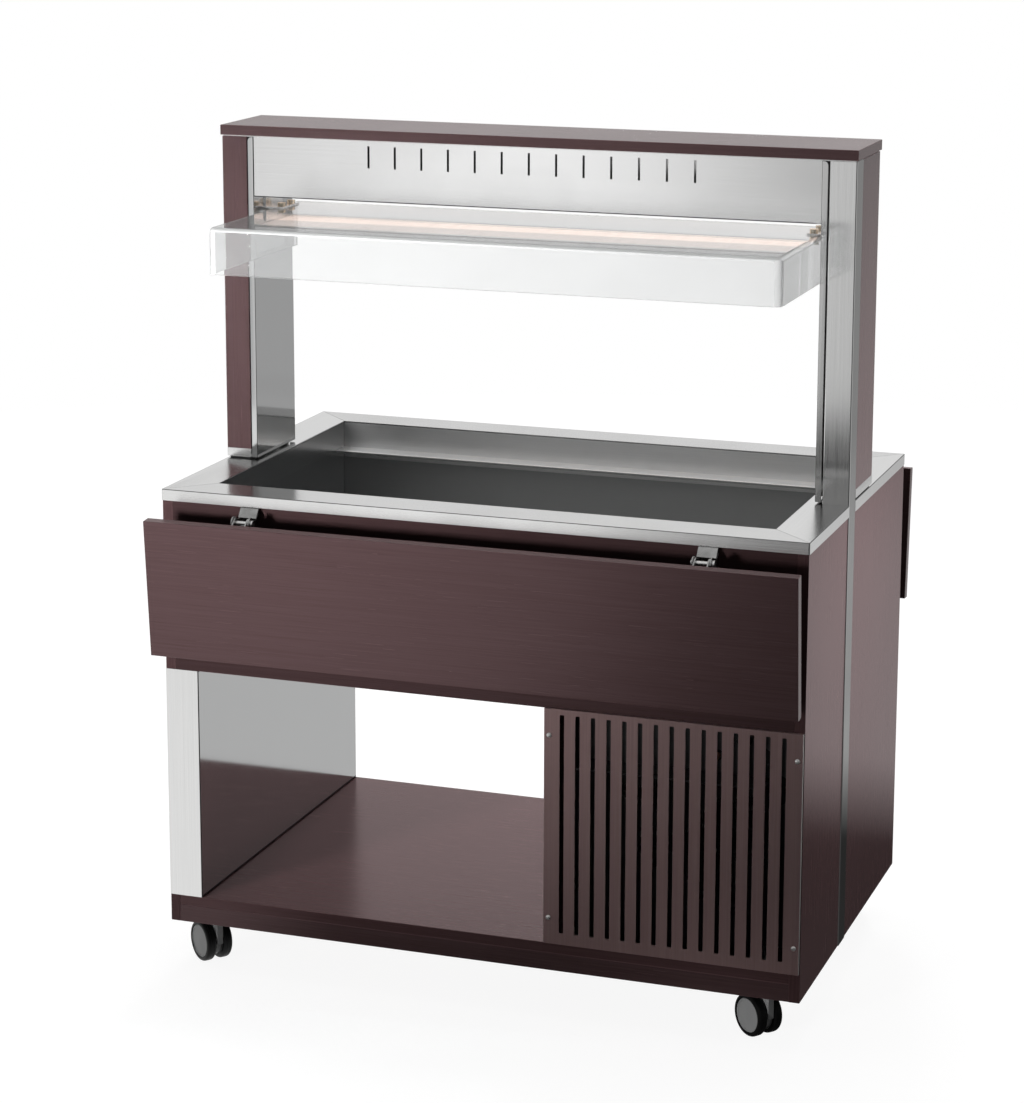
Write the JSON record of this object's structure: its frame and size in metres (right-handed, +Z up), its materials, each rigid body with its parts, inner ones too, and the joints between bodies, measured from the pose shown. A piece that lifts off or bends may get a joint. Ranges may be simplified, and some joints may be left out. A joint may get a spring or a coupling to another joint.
{
  "type": "buffet cart",
  "caption": "Rolling buffet cart with a cooled steel well, folding side leaves, lit canopy and clear guard, open bay and grilled cooling unit.",
  "frame": {"origin": "on the floor, below the middle of the counter", "axes": "+X along the counter towards the cooling unit, +Y from the guest side to the rear, +Z up"},
  "size_m": [1.169, 0.8798, 1.496],
  "materials": {
    "wenge_laminate": "dark wenge laminate with fine straight grain",
    "brushed_steel": "satin brushed stainless steel",
    "brown_coated_steel": "dark brown coating, satin",
    "foam": "pale rigid foam",
    "copper": "drawn copper tube",
    "brass": "turned brass",
    "lever_plastic": "dipped red lever",
    "black_enamel": "black enamel",
    "aluminium": "mill finish",
    "black_plastic": "moulded black plastic",
    "lamp_quartz": "warm quartz tube",
    "lamp_glass": "flat toughened glass",
    "clear_acrylic": "clear bent acrylic",
    "zinc_plate": "zinc plated steel",
    "grey_plastic": "grey moulded plastic",
    "tyre_rubber": "soft black tread"
  },
  "bodies": {
    "cabinet": {"base_rails": "wenge_laminate", "bay_ceiling": "wenge_laminate", "bay_walls": "wenge_laminate", "bottom_board": "wenge_laminate", "cable_gland": "black_plastic", "canopy_panels": "brushed_steel", "canopy_plate": "brushed_steel", "caster_plates": "zinc_plate", "column_cladding": "brushed_steel", "compressor": "black_enamel", "condenser": "aluminium", "control_plate": "brushed_steel", "copper_lines": "copper", "counter_top": "brushed_steel", "drain_valve": "brass", "fan_frame": "brushed_steel", "fascia_boards": "wenge_laminate", "grille_front": "brown_coated_steel", "grille_rear": "brown_coated_steel", "grille_screws": "brushed_steel", "guard_bolts": "brushed_steel", "guard_brackets": "brushed_steel", "hinge_brackets": "brushed_steel", "hinge_pins": "brushed_steel", "lamp": "lamp_quartz", "lamp_cover": "lamp_glass", "light_tray": "brushed_steel", "post_covers": "brushed_steel", "post_plinths": "brushed_steel", "post_woods": "wenge_laminate", "side_panels_left": "wenge_laminate", "side_panels_right": "wenge_laminate", "sneeze_guard": "clear_acrylic", "top_board": "wenge_laminate", "unit_tray": "brushed_steel", "uprights": "brushed_steel", "well_insulation": "foam", "well_ledges": "brushed_steel", "well_tub": "brushed_steel"},
    "front_leaf": {"leaf_front": "wenge_laminate", "leaf_lugs_front": "brushed_steel"},
    "rear_leaf": {"leaf_rear": "wenge_laminate", "leaf_lugs_rear": "brushed_steel"},
    "fan": {"fan_blades": "aluminium"},
    "drain_handle": {"drain_lever": "lever_plastic"},
    "power_rocker": {"power_switch": "black_plastic"},
    "light_rocker": {"light_switch": "black_plastic"},
    "thermostat": {"thermostat_knob": "black_plastic"},
    "caster_front_left": {"caster_housing_front_left": "grey_plastic"},
    "wheels_front_left": {"caster_hubs_front_left": "grey_plastic", "caster_tyres_front_left": "tyre_rubber"},
    "caster_front_right": {"caster_housing_front_right": "grey_plastic"},
    "wheels_front_right": {"caster_hubs_front_right": "grey_plastic", "caster_tyres_front_right": "tyre_rubber"},
    "caster_rear_left": {"caster_housing_rear_left": "grey_plastic"},
    "wheels_rear_left": {"caster_hubs_rear_left": "grey_plastic", "caster_tyres_rear_left": "tyre_rubber"},
    "caster_rear_right": {"caster_housing_rear_right": "grey_plastic"},
    "wheels_rear_right": {"caster_hubs_rear_right": "grey_plastic", "caster_tyres_rear_right": "tyre_rubber"}
  },
  "joints": [
    {"name": "front_leaf_fold", "type": "hinge", "parent": "cabinet", "child": "front_leaf", "pos_m": [0, -0.402, 0.845], "axis": [-1, 0, 0], "range_deg": [0, 94.65]},
    {"name": "rear_leaf_fold", "type": "hinge", "parent": "cabinet", "child": "rear_leaf", "pos_m": [0, 0.402, 0.845], "axis": [1, 0, 0], "range_deg": [0, 94.65]},
    {"name": "fan_spin", "type": "hinge", "parent": "cabinet", "child": "fan", "pos_m": [0.3405, -0.2535, 0.2945], "axis": [0, 1, 0], "continuous": true},
    {"name": "drain_open", "type": "hinge", "parent": "cabinet", "child": "drain_handle", "pos_m": [0.24, 0.03, 0.6], "axis": [0, 1, 0], "range_deg": [0, 90]},
    {"name": "power_rock", "type": "hinge", "parent": "cabinet", "child": "power_rocker", "pos_m": [0.3, 0.3695, 0.5005], "axis": [1, 0, 0], "range_deg": [0, 16]},
    {"name": "light_rock", "type": "hinge", "parent": "cabinet", "child": "light_rocker", "pos_m": [0.33, 0.3695, 0.5005], "axis": [1, 0, 0], "range_deg": [0, 16]},
    {"name": "thermostat_turn", "type": "hinge", "parent": "cabinet", "child": "thermostat", "pos_m": [0.4, 0.3725, 0.5005], "axis": [0, 1, 0], "range_deg": [0, 270]},
    {"name": "swivel_front_left", "type": "hinge", "parent": "cabinet", "child": "caster_front_left", "pos_m": [-0.513, -0.318, 0.09], "axis": [0, 0, 1], "continuous": true},
    {"name": "roll_front_left", "type": "hinge", "parent": "caster_front_left", "child": "wheels_front_left", "pos_m": [-0.53034, -0.30445, 0.0375], "axis": [-0.6157, -0.788, 0], "continuous": true},
    {"name": "swivel_front_right", "type": "hinge", "parent": "cabinet", "child": "caster_front_right", "pos_m": [0.513, -0.318, 0.09], "axis": [0, 0, 1], "continuous": true},
    {"name": "roll_front_right", "type": "hinge", "parent": "caster_front_right", "child": "wheels_front_right", "pos_m": [0.49566, -0.30445, 0.0375], "axis": [-0.6157, -0.788, 0], "continuous": true},
    {"name": "swivel_rear_left", "type": "hinge", "parent": "cabinet", "child": "caster_rear_left", "pos_m": [-0.513, 0.318, 0.09], "axis": [0, 0, 1], "continuous": true},
    {"name": "roll_rear_left", "type": "hinge", "parent": "caster_rear_left", "child": "wheels_rear_left", "pos_m": [-0.53034, 0.33154, 0.0375], "axis": [-0.6157, -0.788, 0], "continuous": true},
    {"name": "swivel_rear_right", "type": "hinge", "parent": "cabinet", "child": "caster_rear_right", "pos_m": [0.513, 0.318, 0.09], "axis": [0, 0, 1], "continuous": true},
    {"name": "roll_rear_right", "type": "hinge", "parent": "caster_rear_right", "child": "wheels_rear_right", "pos_m": [0.49566, 0.33154, 0.0375], "axis": [-0.6157, -0.788, 0], "continuous": true}
  ]
}
